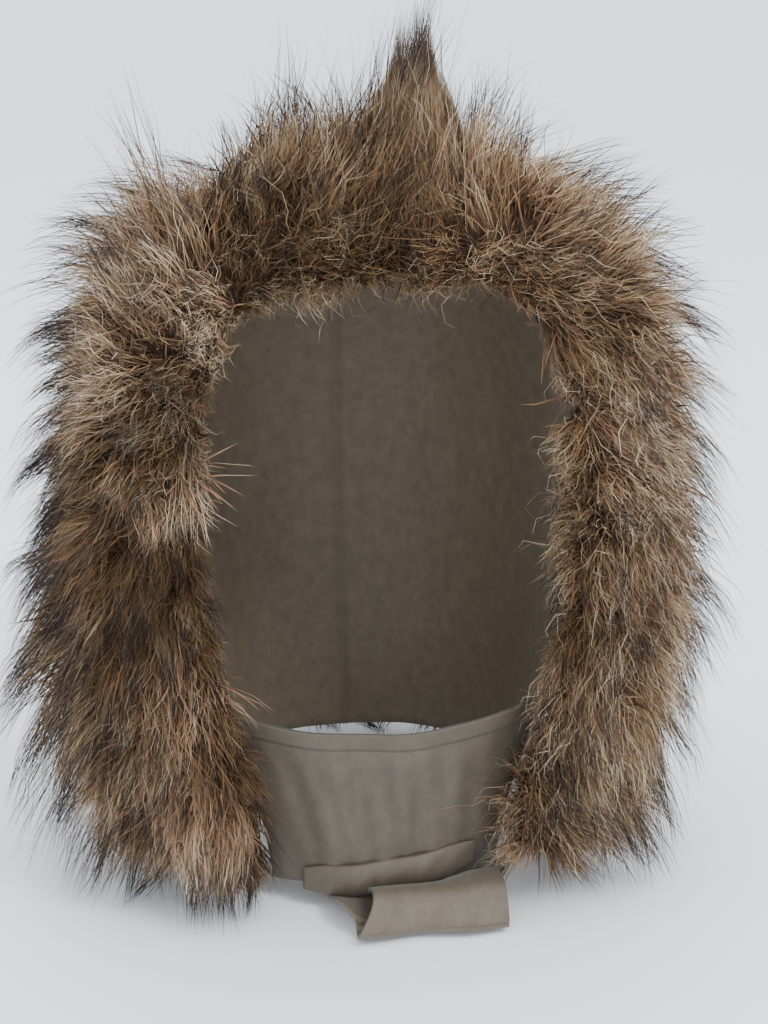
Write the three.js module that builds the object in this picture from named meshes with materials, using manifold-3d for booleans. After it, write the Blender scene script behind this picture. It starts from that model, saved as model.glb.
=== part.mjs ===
// Fur hood: a cloth-lined hood covered with deep fur, with a ruff round the face and a cloth neck piece.
// Millimetres. +Z is up and the face opening looks along -Y. The origin is the inside of the crown.

import * as THREE from 'three';
import { mergeVertices } from 'three/addons/utils/BufferGeometryUtils.js';
import Module from 'manifold-3d';

const wasm = await Module();
wasm.setup();

// Driving dimensions of the cloth hood
const GAP = 0.4;
const HOOD_HEIGHT = 258;
const HOOD_HALF_WIDTH = 92;
const HOOD_FRONT = 114;
const HOOD_BACK = 110;
const HOOD_SQUARENESS = 2.5;
const LINING_THICKNESS = 1.8;
const CLOTH_THICKNESS = 1.6;

// The face opening lies in one plane, which leans forward towards the chin
const RIM_TOP_Y = -58;
const RIM_LEAN = 0.05;

// Fur
const UNDERFUR_DEPTH = 26;
const FUR_REACH = 53;
const FUR_BOTTOM_Z = -250;
const FUR_LOWEST_Z = -267;
const LOCK_SPACING = 38;
const LOCK_ROOT_DEPTH = 8;
const LOCK_WIDTH = 42;
const LOCK_RUN = 0.85;
const LOCK_BEND = 0.35;
const LOCK_FLATNESS = 0.7;
const LOCK_FLOW = new THREE.Vector3(0.25, 0.35, -1);
const LOCK_CLEAR_OF_JOINS = 5;
const RUFF_LOCK_SPACING = 34;
const RUFF_END_DROP = 0.93;
const RUFF_END_TAPER = 0.7;
const RUFF_OVERRUN = 0.04;
const RUFF_JOIN_X = 7;
const RUFF_CLEAR_OF_JOIN = 14;
const PEAK_BASE = new THREE.Vector3(9, -73, 12);
const PEAK_TIP = new THREE.Vector3(11, -63, 87);
const PEAK_SWAY = 2;
const PEAK_FLATNESS = 0.75;

// Cloth under the chin
const THROAT_TOP_Z = -188;
const THROAT_BOTTOM_Z = -262;
const THROAT_SIDE_INSET = 6;
const THROAT_BEHIND_RIM = 8;
const THROAT_BULGE = 15;
const THROAT_DIP = 7;
const BAND_HEIGHT = 13;
const BAND_MIDDLE_Z = -256;
const BAND_REACH = 0.74;
const BAND_RISE = 3.7;
const BAND_PUFF = 0.9;
const FLAP_LEFT_X = -17;
const FLAP_RIGHT_X = 45;
const FLAP_TUCK = 9;
const FLAP_SLANT = 5;
const FLAP_RIPPLE = 0.8;
const FLAP_HEM_Y = -103;
const FLAP_HEM_Z = -271;
const FLAP_FOLD_RADIUS = 4;
const FLAP_BACK_TOP = new THREE.Vector2(-86.5, -262);
const FLAP_FRONT_TOP = new THREE.Vector2(-98, -256);

// Fineness of the faceted surfaces
const RING_SIDES = 26;
const RIM_STEPS = 22;
const RIM_CROWDING = 1.4;
const RUFF_STEPS = 15;
const LOCK_SIDES = 4;
const LOCK_STEPS = 2;
const PEAK_SIDES = 16;
const CLOTH_COLUMNS = 14;
const FLAP_COLUMNS = 10;
const FLAP_TURNS = 6;
const BIG = 600;

// Level sections of the hood from the crown down, as shares of the driving dimensions
const HOOD_ROWS = [
  { drop: 0.0, width: 0.0, front: 0.0, back: 0.0 },
  { drop: 0.004, width: 0.32, front: 0.3, back: 0.27 },
  { drop: 0.02, width: 0.58, front: 0.58, back: 0.52 },
  { drop: 0.055, width: 0.74, front: 0.74, back: 0.68 },
  { drop: 0.11, width: 0.85, front: 0.86, back: 0.82 },
  { drop: 0.19, width: 0.93, front: 0.94, back: 0.93 },
  { drop: 0.3, width: 0.98, front: 0.98, back: 0.985 },
  { drop: 0.43, width: 1.0, front: 1.0, back: 1.0 },
  { drop: 0.57, width: 0.98, front: 0.99, back: 0.98 },
  { drop: 0.7, width: 0.93, front: 0.95, back: 0.92 },
  { drop: 0.81, width: 0.86, front: 0.9, back: 0.83 },
  { drop: 0.9, width: 0.8, front: 0.86, back: 0.76 },
  { drop: 1.0, width: 0.76, front: 0.84, back: 0.71 },
  { drop: 1.08, width: 0.74, front: 0.83, back: 0.69 },
];

// Outline of the ruff across its strip: away from the opening, and forward of the rim
const RUFF_SECTION = [
  { out: -4, forward: 0 },
  { out: -7, forward: 8 },
  { out: -4, forward: 17 },
  { out: 5, forward: 24 },
  { out: 16, forward: 25 },
  { out: 26, forward: 19 },
  { out: 31, forward: 9 },
  { out: 30, forward: 0 },
];

// Rows of locks on the ruff: where they root, how they point and how long they are
const RUFF_LOCK_ROWS = [
  { out: 20, forward: 8, pointOut: 1.0, pointForward: 0.15, length: 44, width: 38 },
  { out: 11, forward: 16, pointOut: 0.9, pointForward: 0.55, length: 38, width: 34 },
  { out: 2, forward: 13, pointOut: 0.5, pointForward: 0.7, length: 27, width: 26 },
];

// The peak from its base to near its tip: height as a share, radius, and how deep its flutes are
const PEAK_ROWS = [
  { height: 0.0, radius: 23, flute: 0.04 },
  { height: 0.28, radius: 21, flute: 0.08 },
  { height: 0.45, radius: 18, flute: 0.14 },
  { height: 0.62, radius: 12, flute: 0.18 },
  { height: 0.8, radius: 7, flute: 0.22 },
  { height: 0.93, radius: 3.5, flute: 0.2 },
];

// Rows of locks on the sides, crown and back, from the crown down
const HOOD_LOCK_ROWS = [
  { drop: 0.002, lean: 0.4, reach: 0.95 },
  { drop: 0.014, lean: 0.4, reach: 1.0 },
  { drop: 0.055, lean: 0.35, reach: 1.08 },
  { drop: 0.14, lean: 0.35, reach: 1.08 },
  { drop: 0.26, lean: 0.4, reach: 1.02 },
  { drop: 0.38, lean: 0.45, reach: 1.02 },
  { drop: 0.5, lean: 0.5, reach: 1.1 },
  { drop: 0.62, lean: 0.6, reach: 1.12 },
  { drop: 0.73, lean: 0.75, reach: 1.08 },
  { drop: 0.83, lean: 0.95, reach: 1.0 },
  { drop: 0.9, lean: 1.3, reach: 0.9 },
];

// Lobes and hollows in the mass of fur, each fading out over its spread
const FUR_LOBES = [
  { x: -58, y: -50, z: -4, spread: 18, depth: -0.4 },
  { x: -82, y: -40, z: -22, spread: 36, depth: 0.4 },
  { x: 78, y: -40, z: -14, spread: 46, depth: 0.3 },
  { x: -98, y: -40, z: -188, spread: 66, depth: 0.5 },
  { x: 97, y: -40, z: -172, spread: 70, depth: 0.5 },
  { x: -30, y: -20, z: 10, spread: 45, depth: 0.25 },
];

// Soft folds in the throat cloth: how high, and how fast they turn across it and down it
const THROAT_FOLDS = [
  { height: 0.9, across: 9, down: 0.03 },
  { height: 0.6, across: 5, down: -0.06 },
];

// A repeatable sequence of numbers from 0 to 1
function numberSource(seed) {
  let state = seed;
  return () => {
    state = (state * 16807) % 2147483647;
    return state / 2147483647;
  };
}

// A closed geometry through rings of points, with a fan to one point at each end
function loft(rings, start, end) {
  const sides = rings[0].length;
  const points = [start, ...rings.flat(), end];
  const last = points.length - 1;
  const faces = [];
  for (let side = 0; side < sides; side += 1) {
    const next = (side + 1) % sides;
    faces.push(0, 1 + next, 1 + side);
    faces.push(last, last - sides + side, last - sides + next);
    for (let ring = 0; ring < rings.length - 1; ring += 1) {
      const here = 1 + ring * sides;
      const there = here + sides;
      faces.push(here + side, here + next, there + side);
      faces.push(here + next, there + next, there + side);
    }
  }
  return indexedGeometry(points, faces);
}

function indexedGeometry(points, faces) {
  const geometry = new THREE.BufferGeometry().setFromPoints(points);
  geometry.setIndex(faces);
  return geometry;
}

function centreOf(ring) {
  return ring.reduce((sum, point) => sum.add(point), new THREE.Vector3()).divideScalar(ring.length);
}

// A closed wall between two surfaces, each given as a function of u and v from 0 to 1
function wall(columns, rows, frontAt, backAt) {
  const points = [];
  const faces = [];
  for (const surface of [frontAt, backAt]) {
    for (let row = 0; row <= rows; row += 1) {
      for (let column = 0; column <= columns; column += 1) {
        points.push(surface(column / columns, row / rows));
      }
    }
  }
  const size = (columns + 1) * (rows + 1);
  const at = (row, column) => row * (columns + 1) + column;
  for (let row = 0; row < rows; row += 1) {
    for (let column = 0; column < columns; column += 1) {
      const corners = [at(row, column), at(row, column + 1), at(row + 1, column + 1), at(row + 1, column)];
      const [a, b, c, d] = corners;
      faces.push(a, d, b, b, d, c);
      faces.push(size + a, size + b, size + d, size + b, size + c, size + d);
    }
  }
  const rim = [];
  for (let column = 0; column < columns; column += 1) rim.push(at(0, column));
  for (let row = 0; row < rows; row += 1) rim.push(at(row, columns));
  for (let column = columns; column > 0; column -= 1) rim.push(at(rows, column));
  for (let row = rows; row > 0; row -= 1) rim.push(at(row, 0));
  rim.forEach((here, index) => {
    const next = rim[(index + 1) % rim.length];
    faces.push(here, next, size + here, next, size + next, size + here);
  });
  return indexedGeometry(points, faces);
}

// A solid from a closed geometry, turned to face outwards whichever way its rings were wound
function solidOf(geometry) {
  const plain = geometry.clone();
  plain.deleteAttribute('normal');
  plain.deleteAttribute('uv');
  const merged = mergeVertices(plain, 1e-3);
  const vertProperties = merged.attributes.position.array;
  const triVerts = new Uint32Array(merged.index.array);
  const made = new wasm.Manifold(new wasm.Mesh({ numProp: 3, vertProperties, triVerts }));
  if (made.volume() > 0) return made;
  return new wasm.Manifold(new wasm.Mesh({ numProp: 3, vertProperties, triVerts: triVerts.reverse() }));
}

function geometryOf(solid) {
  const mesh = solid.getMesh();
  const geometry = new THREE.BufferGeometry();
  geometry.setAttribute('position', new THREE.BufferAttribute(mesh.vertProperties, 3));
  geometry.setIndex(new THREE.BufferAttribute(mesh.triVerts, 1));
  geometry.computeVertexNormals();
  return geometry;
}

const joined = (solids) => solids.reduce((sum, solid) => sum.add(solid));

// The hood's own surface, by level (0 at the crown, 1 at the neck) and angle (0 in front, 90 degrees at +X)
const sizeCurve = new THREE.CatmullRomCurve3(
  HOOD_ROWS.map((row) => new THREE.Vector3(
    row.width * HOOD_HALF_WIDTH,
    row.front * HOOD_FRONT,
    row.back * HOOD_BACK,
  )),
);
const dropCurve = new THREE.CatmullRomCurve3(
  HOOD_ROWS.map((row) => new THREE.Vector3(0, 0, -row.drop * HOOD_HEIGHT)),
);

const squared = (value) => Math.sign(value) * Math.abs(value) ** (2 / HOOD_SQUARENESS);

function hoodPoint(level, angle) {
  const size = sizeCurve.getPoint(level);
  const depth = Math.cos(angle) > 0 ? size.y : size.z;
  const drop = dropCurve.getPoint(level).z;
  return new THREE.Vector3(size.x * squared(Math.sin(angle)), -depth * squared(Math.cos(angle)), drop);
}

function hoodNormal(level, angle) {
  if (level < 0.01) return new THREE.Vector3(0, 0, 1);
  const down = hoodPoint(Math.min(level + 0.01, 1), angle).sub(hoodPoint(level - 0.01, angle));
  const around = hoodPoint(level, angle + 0.1).sub(hoodPoint(level, angle - 0.1));
  return down.cross(around).normalize();
}

function levelOfDrop(drop) {
  let low = 0;
  let high = 1;
  for (let step = 0; step < 30; step += 1) {
    const middle = (low + high) / 2;
    if (-dropCurve.getPoint(middle).z < drop * HOOD_HEIGHT) low = middle;
    else high = middle;
  }
  return low;
}

const rimY = (z) => RIM_TOP_Y + RIM_LEAN * z;
const rimForward = new THREE.Vector3(0, -1, RIM_LEAN).normalize();

// A solid of everything inside the hood's surface moved out by an offset, which may vary over it
function hoodSolid(offsetAt) {
  const rings = [];
  const levels = HOOD_ROWS.length - 1;
  for (let index = 1; index <= levels; index += 1) {
    const ring = [];
    for (let side = 0; side < RING_SIDES; side += 1) {
      const level = index / levels;
      const angle = (side / RING_SIDES) * 2 * Math.PI;
      const point = hoodPoint(level, angle);
      ring.push(point.addScaledVector(hoodNormal(level, angle), offsetAt(point)));
    }
    rings.push(ring);
  }
  const apex = new THREE.Vector3(0, 0, offsetAt(new THREE.Vector3()));
  return solidOf(loft(rings, apex, centreOf(rings[rings.length - 1])));
}

function boxSolid(low, high) {
  const size = high.clone().sub(low);
  const middle = high.clone().add(low).divideScalar(2);
  return solidOf(new THREE.BoxGeometry(size.x, size.y, size.z).translate(middle.x, middle.y, middle.z));
}

// Everything on one side of the rim plane once it is moved forward by a distance: -1 is in front of it
function spaceBeyondRim(side, forward) {
  const box = new THREE.BoxGeometry(BIG, BIG, 2 * BIG).translate(0, (side * BIG) / 2, 0);
  return solidOf(box.rotateX(-Math.atan(RIM_LEAN)).translate(0, RIM_TOP_Y - forward, 0));
}

const spaceBelow = (z) => boxSolid(new THREE.Vector3(-BIG, -BIG, z - BIG), new THREE.Vector3(BIG, BIG, z));
const spaceLeftOf = (x) => boxSolid(new THREE.Vector3(x - BIG, -BIG, -BIG), new THREE.Vector3(x, BIG, BIG));
const spaceRightOf = (x) => boxSolid(new THREE.Vector3(x, -BIG, -BIG), new THREE.Vector3(x + BIG, BIG, BIG));

// How much deeper or shallower the fur is near a point, as a share
function furLobe(point) {
  return FUR_LOBES.reduce((sum, lobe) => {
    const away = point.distanceTo(new THREE.Vector3(lobe.x, lobe.y, lobe.z)) / lobe.spread;
    return sum + lobe.depth * Math.exp(-away * away);
  }, 1);
}

// One lock of fur: a flattened cone that starts along one direction and bends towards another
function lock(root, direction, bend, length, width) {
  const cone = new THREE.ConeGeometry(1, 1, LOCK_SIDES, LOCK_STEPS);
  cone.deleteAttribute('normal');
  cone.deleteAttribute('uv');
  const shape = mergeVertices(cone, 1e-4);
  const along = direction.clone().normalize();
  const side = along.clone().cross(bend);
  if (side.lengthSq() < 1e-4) side.set(1, 0.3, 0.2).cross(along);
  side.normalize();
  const across = side.clone().cross(along);
  const place = shape.getAttribute('position');
  const point = new THREE.Vector3();
  for (let index = 0; index < place.count; index += 1) {
    point.fromBufferAttribute(place, index);
    const height = point.y + 0.5;
    const swell = 0.5 * width * (1 + 0.5 * height * (1 - height) * 4);
    const spine = root.clone().addScaledVector(along, length * height * (1 - (1 - LOCK_RUN) * height));
    spine.addScaledVector(bend, length * LOCK_BEND * height * height);
    spine.addScaledVector(side, point.x * swell);
    spine.addScaledVector(across, point.z * swell * LOCK_FLATNESS);
    place.setXYZ(index, spine.x, spine.y, spine.z);
  }
  return solidOf(shape);
}

// The angle at which the rim plane cuts the hood at a level
function rimAngle(level) {
  let low = 0;
  let high = Math.PI / 2;
  for (let step = 0; step < 30; step += 1) {
    const middle = (low + high) / 2;
    const point = hoodPoint(level, middle);
    if (point.y < rimY(point.z)) low = middle;
    else high = middle;
  }
  return low;
}

function rimPoint(level, sign) {
  const point = hoodPoint(level, rimAngle(level));
  return new THREE.Vector3(sign * point.x, rimY(point.z), point.z);
}

// The rim of the cloth hood, as one curve from the left end over the crown to the right end
function makeRimCurve() {
  let top = 0;
  while (hoodPoint(top, 0).y > rimY(hoodPoint(top, 0).z)) top += 0.001;
  const bottom = levelOfDrop(RUFF_END_DROP);
  const points = [];
  for (let step = -RIM_STEPS; step <= RIM_STEPS; step += 1) {
    const level = top + (bottom - top) * (Math.abs(step) / RIM_STEPS) ** RIM_CROWDING;
    points.push(rimPoint(level, Math.sign(step)));
  }
  return new THREE.CatmullRomCurve3(points);
}

const rimCurve = makeRimCurve();

function rimFrame(share) {
  const point = rimCurve.getPointAt(share);
  const out = rimForward.clone().cross(rimCurve.getTangentAt(share)).normalize();
  return { point, out };
}

function liningSolid() {
  const cloth = hoodSolid(() => LINING_THICKNESS).subtract(hoodSolid(() => 0));
  return cloth.subtract(spaceBeyondRim(-1, 0)).subtract(spaceBelow(-HOOD_HEIGHT));
}

function hoodLocks(sign, random) {
  const locks = [];
  for (const row of HOOD_LOCK_ROWS) {
    const level = levelOfDrop(row.drop);
    const first = rimAngle(level);
    const widest = hoodPoint(level, Math.PI / 2).x + UNDERFUR_DEPTH;
    const count = Math.max(2, Math.round(((Math.PI - first) * widest) / LOCK_SPACING));
    for (let index = 0; index < count; index += 1) {
      const angle = sign * (first + (Math.PI - first) * ((index + 0.3 + 0.4 * random()) / count));
      const spot = hoodPoint(level, angle);
      const normal = hoodNormal(level, angle);
      const lobe = furLobe(spot);
      const root = spot.addScaledVector(normal, UNDERFUR_DEPTH * lobe - LOCK_ROOT_DEPTH);
      root.z += LOCK_ROOT_DEPTH * (random() - 0.5);
      const flow = LOCK_FLOW.clone();
      flow.x *= sign * (random() - 0.3);
      flow.addScaledVector(normal, -flow.dot(normal));
      const direction = normal.clone().addScaledVector(flow, row.lean);
      direction.normalize();
      const wanted = (FUR_REACH * row.reach - UNDERFUR_DEPTH + LOCK_ROOT_DEPTH) * (1.02 + 0.25 * random());
      const fall = -(LOCK_RUN * direction.z + LOCK_BEND * flow.z);
      const length = Math.min(wanted, (root.z - FUR_LOWEST_Z) / Math.max(fall, 0.1));
      const width = LOCK_WIDTH * (0.85 + 0.3 * random());
      const behindRim = root.y > rimY(root.z) + LOCK_CLEAR_OF_JOINS;
      if (behindRim && sign * root.x > LOCK_CLEAR_OF_JOINS) {
        locks.push(lock(root, direction, flow, length, width));
      }
    }
  }
  return locks;
}

function furSolid(sign, random) {
  const outside = hoodSolid((point) => {
    const fade = THREE.MathUtils.smoothstep(point.z, -HOOD_HEIGHT, -0.75 * HOOD_HEIGHT);
    return UNDERFUR_DEPTH * furLobe(point) * (0.6 + 0.4 * fade);
  });
  const inside = hoodSolid(() => LINING_THICKNESS + GAP);
  const otherSide = sign > 0 ? spaceLeftOf(GAP / 2) : spaceRightOf(-GAP / 2);
  const mass = outside.subtract(spaceBelow(FUR_BOTTOM_Z));
  return joined([mass, ...hoodLocks(sign, random)])
    .subtract(inside)
    .subtract(spaceBeyondRim(-1, -GAP))
    .subtract(otherSide);
}

// One fur strip, from its end at the neck to where it passes the join at the crown
function ruffSolid(sign, random, scale) {
  const shareAt = (step) => 0.5 + sign * (0.5 - (0.5 + RUFF_OVERRUN) * step);
  const rings = [];
  for (let step = 0; step <= RUFF_STEPS; step += 1) {
    const share = shareAt(step / RUFF_STEPS);
    const frame = rimFrame(share);
    const fullness = THREE.MathUtils.smoothstep(step / RUFF_STEPS, 0, 0.12);
    const taper = THREE.MathUtils.lerp(RUFF_END_TAPER, 1, fullness);
    rings.push(RUFF_SECTION.map((corner) => frame.point.clone()
      .addScaledVector(frame.out, corner.out > 0 ? corner.out * taper * scale : corner.out)
      .addScaledVector(rimForward, GAP + corner.forward * taper)));
  }
  const strip = solidOf(loft(rings, centreOf(rings[0]), centreOf(rings[rings.length - 1])));
  const count = Math.round(rimCurve.getLength() / 2 / RUFF_LOCK_SPACING);
  const locks = [];
  for (const row of RUFF_LOCK_ROWS) {
    for (let index = 0; index < count; index += 1) {
      const step = (index + 0.3 + 0.4 * random()) / count;
      const frame = rimFrame(shareAt(step));
      const root = frame.point.clone()
        .addScaledVector(frame.out, row.out * scale)
        .addScaledVector(rimForward, row.forward);
      const droop = 1 - THREE.MathUtils.smoothstep(step, 0.1, 0.8);
      const fall = new THREE.Vector3(0.2 * (random() - 0.5) - 0.25 * sign * droop, 0, -1);
      const direction = frame.out.clone().multiplyScalar(row.pointOut)
        .addScaledVector(rimForward, row.pointForward)
        .addScaledVector(fall, 0.1 + 0.6 * droop);
      const length = row.length * (0.9 + 0.25 * random()) * (1 - 0.3 * droop * droop);
      if (sign * (root.x - RUFF_JOIN_X) < RUFF_CLEAR_OF_JOIN) continue;
      locks.push(lock(root, direction, fall, length, row.width * (0.9 + 0.2 * random())));
    }
  }
  const otherSide = sign > 0 ? spaceLeftOf(RUFF_JOIN_X + GAP / 2) : spaceRightOf(RUFF_JOIN_X - GAP / 2);
  return joined([strip, ...locks])
    .subtract(spaceBeyondRim(1, GAP))
    .subtract(otherSide)
    .subtract(peakSolid(GAP));
}

// The peak: a hollow-sided, fluted point whose hairs run up to one tip
function peakSolid(margin) {
  const rings = [];
  for (const row of PEAK_ROWS) {
    const middle = PEAK_BASE.clone().lerp(PEAK_TIP, row.height);
    middle.x += PEAK_SWAY * Math.sin(Math.PI * row.height);
    const ring = [];
    for (let side = 0; side < PEAK_SIDES; side += 1) {
      const angle = (side / PEAK_SIDES) * 2 * Math.PI;
      const flute = side % 2 === 0 ? 1 + row.flute : 1 - row.flute;
      const radius = row.radius * flute + margin;
      ring.push(new THREE.Vector3(
        middle.x + radius * Math.cos(angle),
        middle.y + PEAK_FLATNESS * radius * Math.sin(angle),
        middle.z,
      ));
    }
    rings.push(ring);
  }
  const bottom = centreOf(rings[0]).setZ(PEAK_BASE.z - margin);
  return solidOf(loft(rings, bottom, PEAK_TIP.clone().setZ(PEAK_TIP.z + 2 * margin)));
}

// The throat cloth runs between the rims of the hood, in front of the neck
function throatPoint(across, z, outward) {
  const level = levelOfDrop(Math.min(-z / HOOD_HEIGHT, 1));
  const side = rimPoint(level, 1).x - THROAT_SIDE_INSET;
  const folds = THROAT_FOLDS.reduce(
    (sum, fold) => sum + fold.height * Math.sin(fold.across * across + fold.down * z),
    0,
  );
  const bulge = THROAT_BULGE * (1 - Math.abs(across) ** 2.2) + folds * (1 - across * across);
  const pinch = 1 - (outward * 0.5) / side;
  return new THREE.Vector3(across * side * pinch, rimY(z) + THROAT_BEHIND_RIM - bulge - outward, z);
}

function throatGeometry() {
  const at = (outward) => (u, v) => {
    const z = THROAT_TOP_Z + (THROAT_BOTTOM_Z - THROAT_TOP_Z) * v;
    const dip = THROAT_DIP * (1 - (2 * u - 1) ** 2) * (1 - v);
    return throatPoint(2 * u - 1, z - dip, outward);
  };
  return wall(CLOTH_COLUMNS, 6, at(CLOTH_THICKNESS), at(0));
}

function bandGeometry() {
  const at = (outward) => (u, v) => {
    const across = 2 * u - 1;
    const z = BAND_MIDDLE_Z + BAND_HEIGHT * (0.5 - v) + BAND_RISE * across;
    const puff = BAND_PUFF * Math.sin(Math.PI * v);
    return throatPoint(BAND_REACH * across, z, CLOTH_THICKNESS + 3 * GAP + outward * (1 + puff));
  };
  return wall(CLOTH_COLUMNS, 3, at(CLOTH_THICKNESS), at(0));
}

// The flap: cloth that comes down behind, turns round the hem and stands up in front
function flapGeometry() {
  const section = [FLAP_BACK_TOP];
  for (let turn = 0; turn <= FLAP_TURNS; turn += 1) {
    const angle = Math.PI * (turn / FLAP_TURNS);
    section.push(new THREE.Vector2(
      FLAP_HEM_Y + FLAP_FOLD_RADIUS * Math.cos(angle),
      FLAP_HEM_Z + FLAP_FOLD_RADIUS - FLAP_FOLD_RADIUS * Math.sin(angle),
    ));
  }
  section.push(FLAP_FRONT_TOP);
  const rows = section.length - 1;
  const at = (inward) => (u, v) => {
    const index = Math.round(v * rows);
    const before = section[Math.max(index - 1, 0)];
    const after = section[Math.min(index + 1, rows)];
    const run = after.clone().sub(before).normalize();
    const inside = new THREE.Vector2(-run.y, run.x).multiplyScalar(inward);
    const frontRows = Math.max(index - FLAP_TURNS, 0);
    const left = FLAP_LEFT_X + FLAP_SLANT * frontRows - (index === 0 ? FLAP_TUCK : 0);
    const x = left + (FLAP_RIGHT_X - left) * u;
    const swing = 0.8 * FLAP_FOLD_RADIUS * u * (frontRows > 0 ? 0.6 : 0);
    const ripple = FLAP_RIPPLE * Math.sin(0.16 * x) + swing;
    const here = section[index];
    return new THREE.Vector3(x, here.x + inside.x + ripple, here.y + inside.y);
  };
  return wall(FLAP_COLUMNS, rows, at(0), at(CLOTH_THICKNESS));
}

const FUR_BROWN = new THREE.MeshStandardMaterial({ color: 0x7d6143, roughness: 0.85, metalness: 0 });
const RUFF_BROWN = new THREE.MeshStandardMaterial({ color: 0x86684a, roughness: 0.85, metalness: 0 });
const PEAK_BROWN = new THREE.MeshStandardMaterial({ color: 0x6b5238, roughness: 0.85, metalness: 0 });
const TAUPE_CLOTH = new THREE.MeshStandardMaterial({ color: 0x7f7362, roughness: 0.75, metalness: 0 });

function named(name, geometry, material) {
  const mesh = new THREE.Mesh(geometry, material);
  mesh.name = name;
  return mesh;
}

const random = numberSource(20483);
const ruffLeft = ruffSolid(-1, random, 1.15);
const ruffRight = ruffSolid(1, random, 1.1);
const furLeft = furSolid(-1, random).subtract(peakSolid(GAP));
const furRight = furSolid(1, random).subtract(peakSolid(GAP));

const cloth = new THREE.Group();
cloth.add(named('lining', geometryOf(liningSolid()), TAUPE_CLOTH));
cloth.add(named('throat_panel', throatGeometry(), TAUPE_CLOTH));
cloth.add(named('neck_band', bandGeometry(), TAUPE_CLOTH));
cloth.add(named('hem_flap', flapGeometry(), TAUPE_CLOTH));

const fur = new THREE.Group();
fur.add(named('fur_left', geometryOf(furLeft), FUR_BROWN));
fur.add(named('fur_right', geometryOf(furRight), FUR_BROWN));
fur.add(named('ruff_left', geometryOf(ruffLeft), RUFF_BROWN));
fur.add(named('ruff_right', geometryOf(ruffRight), RUFF_BROWN));
fur.add(named('peak_tuft', geometryOf(peakSolid(0)), PEAK_BROWN));

const hood = new THREE.Group();
hood.add(cloth, fur);

export default hood;
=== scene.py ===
"""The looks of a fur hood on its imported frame: fur grown as modelled hairs, and its taupe cloth.

Metres, +Z up. The face opening looks along -Y and the origin is the inside of the crown.
"""

import math

import bpy
import numpy as np
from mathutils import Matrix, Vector
from mathutils.bvhtree import BVHTree


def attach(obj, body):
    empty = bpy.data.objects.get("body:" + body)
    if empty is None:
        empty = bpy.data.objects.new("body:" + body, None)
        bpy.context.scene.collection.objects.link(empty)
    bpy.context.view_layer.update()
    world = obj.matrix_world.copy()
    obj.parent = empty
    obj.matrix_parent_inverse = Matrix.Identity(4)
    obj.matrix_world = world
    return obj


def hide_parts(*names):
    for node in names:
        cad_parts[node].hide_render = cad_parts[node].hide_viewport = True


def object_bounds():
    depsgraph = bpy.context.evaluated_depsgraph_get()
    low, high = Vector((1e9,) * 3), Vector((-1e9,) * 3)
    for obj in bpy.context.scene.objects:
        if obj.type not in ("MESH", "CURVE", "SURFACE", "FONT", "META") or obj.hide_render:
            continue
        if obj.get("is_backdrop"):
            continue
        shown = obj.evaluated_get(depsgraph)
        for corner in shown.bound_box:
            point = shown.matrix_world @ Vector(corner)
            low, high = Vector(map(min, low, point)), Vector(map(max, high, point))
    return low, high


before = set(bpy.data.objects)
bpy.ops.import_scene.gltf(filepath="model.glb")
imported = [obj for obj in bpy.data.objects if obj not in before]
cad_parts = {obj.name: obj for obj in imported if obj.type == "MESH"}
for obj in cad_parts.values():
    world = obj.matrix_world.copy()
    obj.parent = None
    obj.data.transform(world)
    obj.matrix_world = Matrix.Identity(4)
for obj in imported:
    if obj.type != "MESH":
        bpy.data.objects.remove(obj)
CAD_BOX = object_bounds()

MM = 0.001

# The hood's own surface, as in the frame
HOOD_HEIGHT = 258 * MM
HOOD_HALF_WIDTH = 92 * MM
HOOD_FRONT = 114 * MM
HOOD_BACK = 110 * MM
HOOD_SQUARENESS = 2.5
HIDE_OFFSET = 2.2 * MM
RIM_TOP_Y = -58 * MM
RIM_LEAN = 0.05
RIM_FORWARD = np.array([0.0, -1.0, RIM_LEAN]) / math.hypot(1.0, RIM_LEAN)
RUFF_JOIN_X = 7 * MM
RUFF_END_DROP = 0.96
FUR_LOWEST_Z = -268 * MM
STRAY_MARGIN = np.array([15, 15, 18]) * MM
FUR_BOTTOM_DROP = 0.985
UNDERFUR_LOWEST_Z = -263 * MM

# Level sections from the crown down: drop, width, front and back as shares of the driving sizes
HOOD_ROWS = np.array([
    (0.0, 0.0, 0.0, 0.0), (0.004, 0.32, 0.3, 0.27), (0.02, 0.58, 0.58, 0.52),
    (0.055, 0.74, 0.74, 0.68), (0.11, 0.85, 0.86, 0.82), (0.19, 0.93, 0.94, 0.93),
    (0.3, 0.98, 0.98, 0.985), (0.43, 1.0, 1.0, 1.0), (0.57, 0.98, 0.99, 0.98),
    (0.7, 0.93, 0.95, 0.92), (0.81, 0.86, 0.9, 0.83), (0.9, 0.8, 0.86, 0.76),
    (1.0, 0.76, 0.84, 0.71), (1.08, 0.74, 0.83, 0.69),
])

# The ruff's strip of hide, across from the opening outwards: out from the rim, and forward of it
RUFF_SECTION = np.array([(-4, 0), (-7, 8), (-4, 17), (5, 24), (16, 25), (26, 19), (31, 9), (30, 0)]) * MM
RUFF_SCALE = {-1: 1.15, 1: 1.1}
RUFF_HIDE_SHARE = 0.75
RUFF_LIFT = 0.8 * MM

# How hair points across the ruff: share across, outwards, forwards, and its length
RUFF_POINTING = np.array([
    (0.0, -0.5, 0.6, 20), (0.15, -0.3, 0.85, 24), (0.3, 0.1, 0.95, 28),
    (0.5, 0.6, 0.8, 34), (0.75, 0.95, 0.4, 41), (1.0, 1.0, 0.0, 43),
])

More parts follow.
